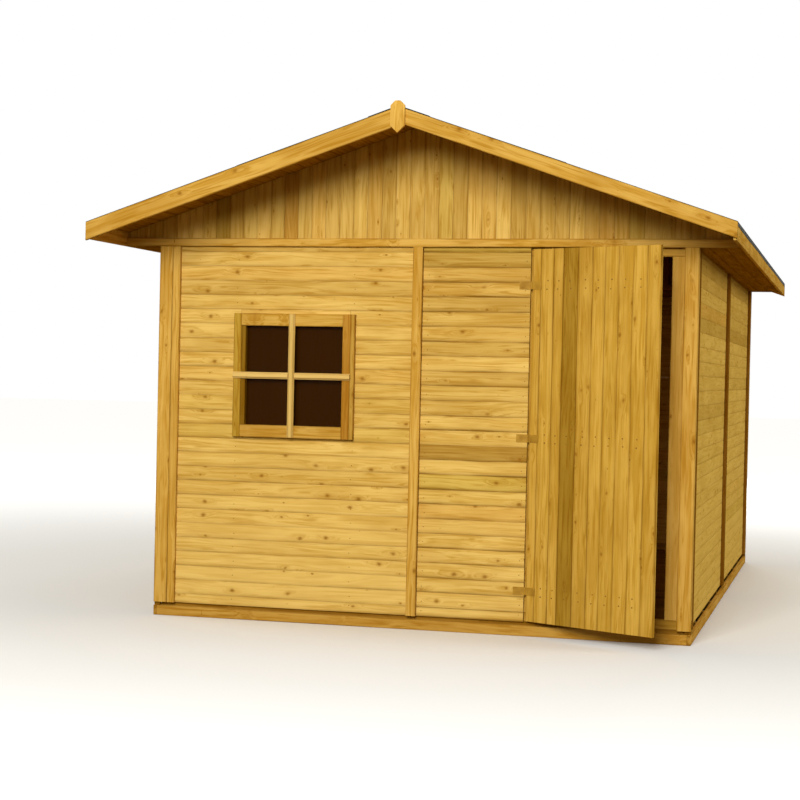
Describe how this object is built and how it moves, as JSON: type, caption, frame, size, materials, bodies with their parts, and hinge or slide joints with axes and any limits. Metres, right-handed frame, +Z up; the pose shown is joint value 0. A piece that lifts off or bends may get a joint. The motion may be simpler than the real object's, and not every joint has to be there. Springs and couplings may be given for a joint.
{
  "type": "wooden garden shed",
  "caption": "Panel-built softwood garden shed with a felted gable roof, a window and an outward door that stands ajar.",
  "frame": {"origin": "on the ground at the middle of the whole shed's footprint, roof overhangs included", "axes": "+Z up, -Y out of the front wall with the door and the window, +Y along the ridge to the back, +X to the right as seen from the front"},
  "size_m": [3.448, 5.554, 2.781],
  "materials": {
    "cladding": "honey-stained planed softwood boards",
    "trim": "honey-stained planed softwood battens",
    "door_timber": "honey-stained planed softwood, slightly greener",
    "frame_timber": "sawn softwood, stained",
    "floor_timber": "planed softwood floor boards",
    "roof_timber": "softwood roof boards",
    "felt": "mineral-faced bitumen felt",
    "glass": "clear pane before a dark room",
    "hinge_steel": "yellow zinc-plated steel"
  },
  "bodies": {
    "building": {"base_boards": "trim", "floor_joists": "frame_timber", "floor_deck": "floor_timber", "front_window_panel": "cladding", "front_middle_panel": "cladding", "front_wall_studs": "frame_timber", "front_wall_rails": "frame_timber", "front_wall_battens": "trim", "door_post_left": "frame_timber", "door_post_right": "frame_timber", "window_frame": "trim", "window_glass": "glass", "left_wall_panels": "cladding", "right_wall_panels": "cladding", "side_wall_studs": "frame_timber", "side_wall_rails": "frame_timber", "side_wall_battens": "trim", "back_wall_panels": "cladding", "back_wall_studs": "frame_timber", "back_wall_rails": "frame_timber", "back_wall_battens": "trim", "front_gable_boards": "cladding", "front_gable_rail": "trim", "back_gable_boards": "cladding", "back_gable_rail": "trim", "gable_chords": "frame_timber", "gable_posts": "frame_timber", "ridge_beam": "frame_timber", "roof_purlins": "frame_timber", "eaves_plates": "frame_timber", "roof_deck_left": "roof_timber", "roof_deck_right": "roof_timber", "roof_felt": "felt", "ridge_felt": "felt", "front_barge_boards": "trim", "back_barge_boards": "trim", "front_finial": "trim", "back_finial": "trim", "eaves_fascias": "trim", "eaves_soffits": "roof_timber", "door_hinge_plates": "hinge_steel"},
    "door": {"door_boards": "door_timber", "door_ledges": "frame_timber", "door_hinges": "hinge_steel"}
  },
  "joints": [
    {"name": "door_hinge", "type": "hinge", "parent": "building", "child": "door", "pos_m": [0.616, -2.2398, 1.071], "axis": [0, 0, -1], "range_deg": [-26, 124]}
  ]
}
